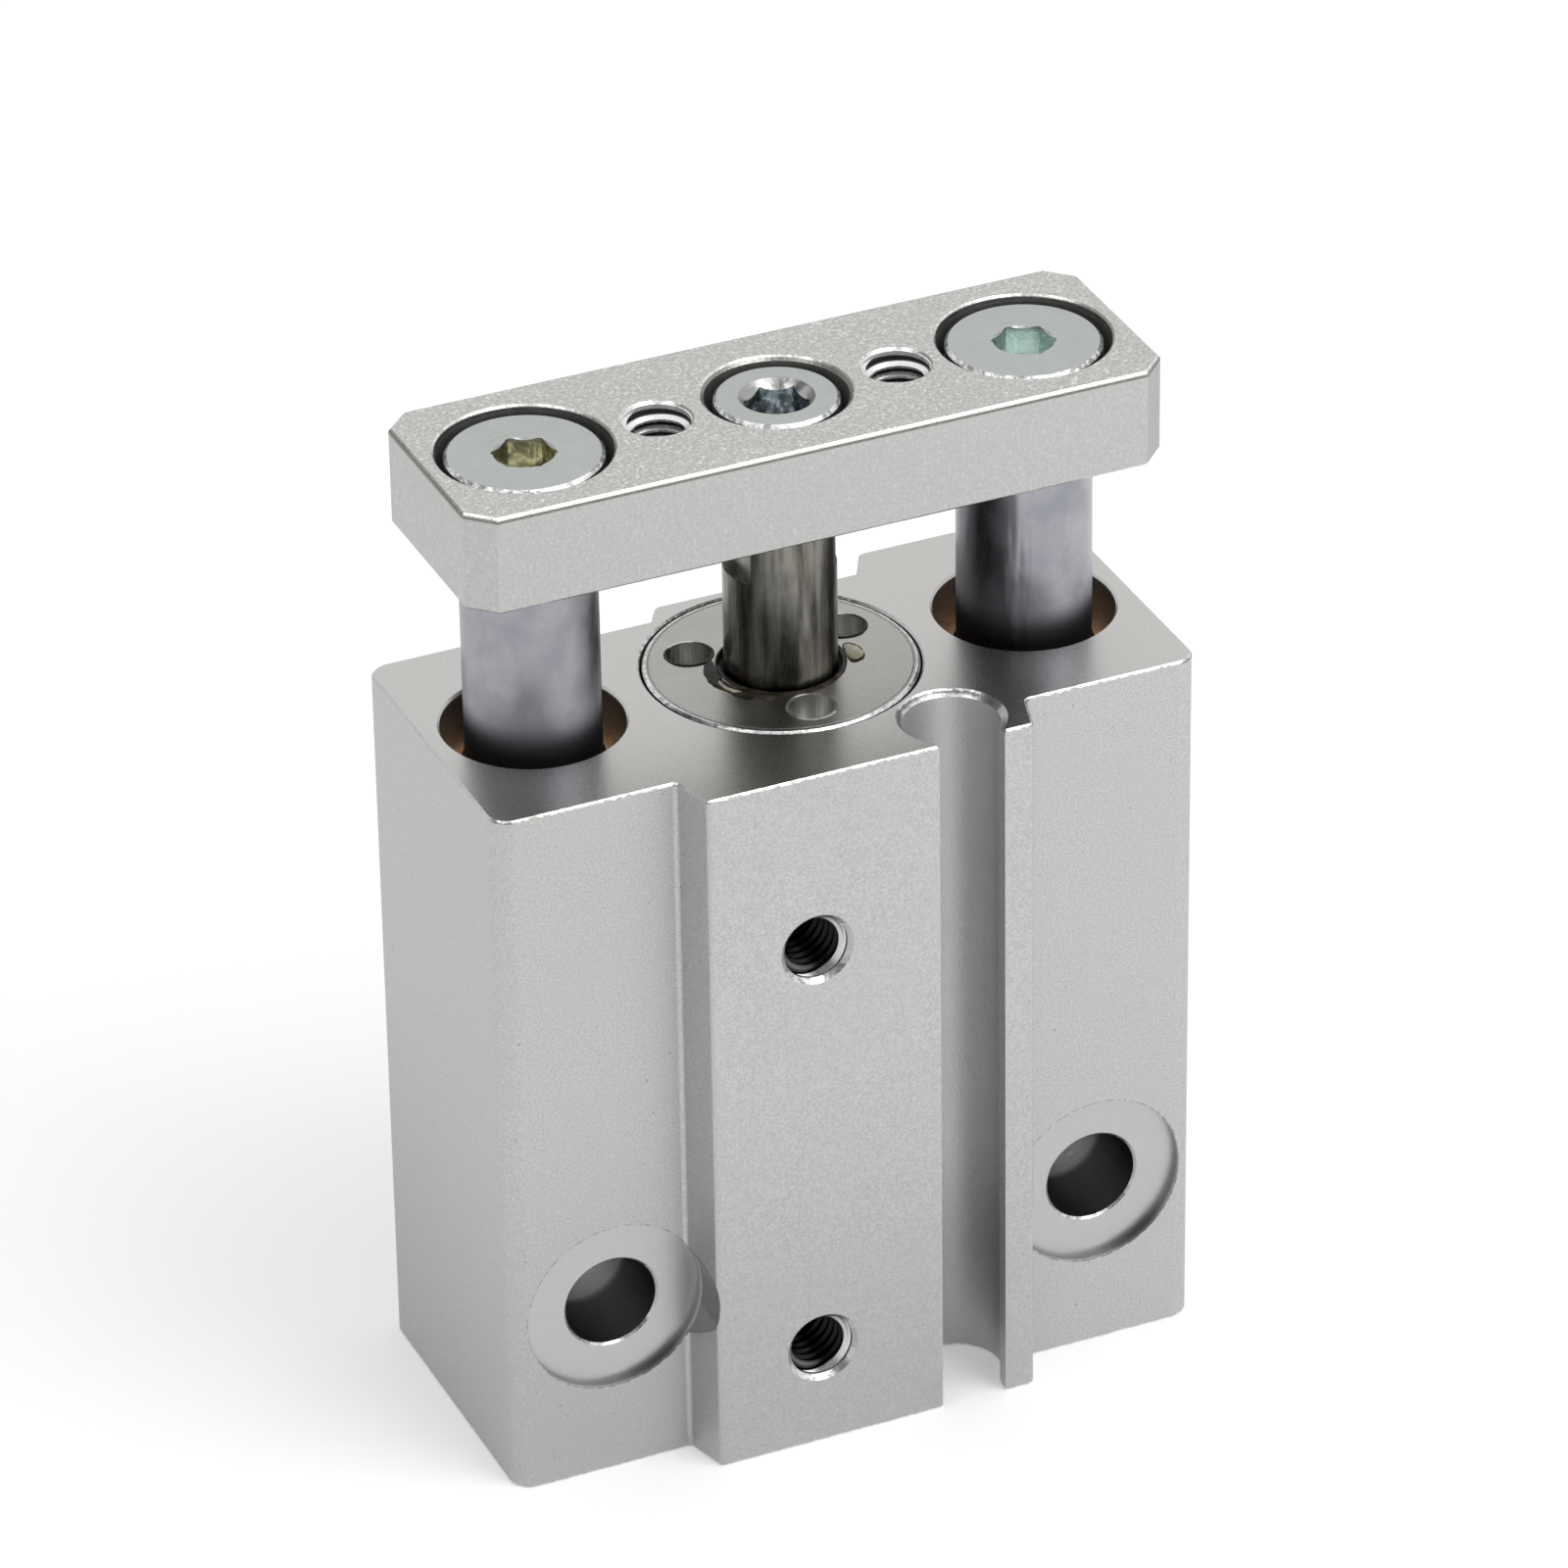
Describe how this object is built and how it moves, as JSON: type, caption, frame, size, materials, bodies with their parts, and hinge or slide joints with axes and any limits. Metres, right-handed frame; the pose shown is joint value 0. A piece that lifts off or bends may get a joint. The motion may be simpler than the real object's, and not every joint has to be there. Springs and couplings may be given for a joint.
{
  "type": "guided pneumatic cylinder",
  "caption": "Compact air cylinder in a flat aluminium body, with a guide rod on each side and a tool plate across the ends of the rods; it moves along the rods.",
  "frame": {"origin": "on the piston rod's axis, in the plane of the body's bottom face", "axes": "+Z along the rods towards the plate, X from guide rod to guide rod, -Y towards the side with the air ports and the sensor groove"},
  "size_m": [0.0332, 0.0168, 0.0477],
  "materials": {
    "body_finish": "bead-blasted, clear anodised",
    "plate_finish": "bead-blasted, clear anodised",
    "cover_finish": "fine turned, anodised",
    "nitrile": "matt black",
    "spring_steel": "phosphated spring steel",
    "bronze": "sintered bronze, oiled",
    "stainless": "ground stainless steel",
    "hard_chrome": "ground, hard-chrome plated",
    "zinc_plate": "blue-white zinc plated",
    "bright_plate": "bright zinc plated",
    "piston_alloy": "machined",
    "magnet": "sintered magnet",
    "urethane": "amber urethane"
  },
  "bodies": {
    "housing": {"body": "body_finish", "rod_cover": "cover_finish", "rod_seal": "nitrile", "rod_cover_gasket": "nitrile", "head_cover": "cover_finish", "head_cover_gasket": "nitrile", "retaining_ring": "spring_steel", "left_bush": "bronze", "right_bush": "bronze"},
    "slider": {"plate": "plate_finish", "piston_rod": "stainless", "left_guide_rod": "hard_chrome", "right_guide_rod": "hard_chrome", "guide_rod_screws": "zinc_plate", "piston_rod_screw": "bright_plate", "piston_rear": "piston_alloy", "magnet": "magnet", "piston_front": "piston_alloy", "piston_seal": "nitrile", "piston_gasket": "nitrile", "rod_bumper": "urethane", "head_bumper": "urethane"}
  },
  "joints": [
    {"name": "rod_slide", "type": "slide", "parent": "housing", "child": "slider", "axis": [0, 0, 1], "range_m": [-0.005, 0.005]}
  ]
}
